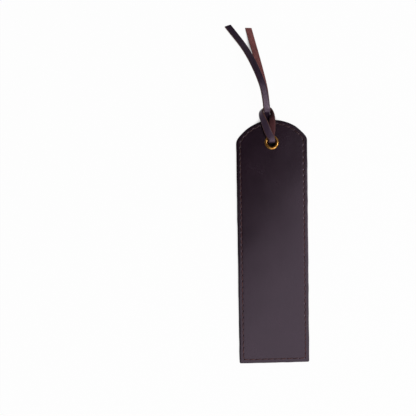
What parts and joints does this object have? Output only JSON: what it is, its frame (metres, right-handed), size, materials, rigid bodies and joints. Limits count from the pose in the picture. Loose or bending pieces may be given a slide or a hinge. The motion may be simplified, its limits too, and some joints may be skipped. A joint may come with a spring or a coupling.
{
  "type": "leather bookmark",
  "caption": "Flat arched-top leather bookmark, sewn round its edge, with a flat lace tied in a lark's head through a brass eyelet to mark and lift a page.",
  "frame": {"origin": "middle of the straight foot's end face, on the plane where the two layers meet", "axes": "+X to the right seen from the front, +Y from the foot to the lace, +Z out of the front face"},
  "size_m": [0.0513, 0.2167, 0.015],
  "materials": {
    "panel_leather": "smooth grain with a soft sheen",
    "lace_leather": "smooth dark grain outside, brown flesh inside",
    "thread": "waxed twisted thread",
    "eyelet_brass": "polished, lightly worn"
  },
  "bodies": {
    "panel": {"front_panel": "panel_leather", "back_panel": "panel_leather", "needle_stitches": "thread", "bobbin_stitches": "thread", "eyelet": "eyelet_brass", "eyelet_washer": "eyelet_brass"},
    "lace": {"lace_knot": "lace_leather"},
    "upper_tail": {"lace_tail_upper": "lace_leather"},
    "lower_tail": {"lace_tail_lower": "lace_leather"}
  },
  "joints": [
    {"name": "lace_swing", "type": "hinge", "parent": "panel", "child": "lace", "pos_m": [0, 0.1405, 0], "axis": [0, 0, 1], "range_deg": [-20, 20]},
    {"name": "upper_tail_lift", "type": "hinge", "parent": "lace", "child": "upper_tail", "pos_m": [-0.00301, 0.1645, 0.00675], "axis": [1, 0, 0], "range_deg": [0, 80], "stiffness_Nm_per_rad": 0.0015},
    {"name": "lower_tail_droop", "type": "hinge", "parent": "lace", "child": "lower_tail", "pos_m": [-0.00301, 0.1645, 0.0044], "axis": [1, 0, 0], "range_deg": [-80, 0], "stiffness_Nm_per_rad": 0.0015, "springref_deg": 6.88}
  ]
}
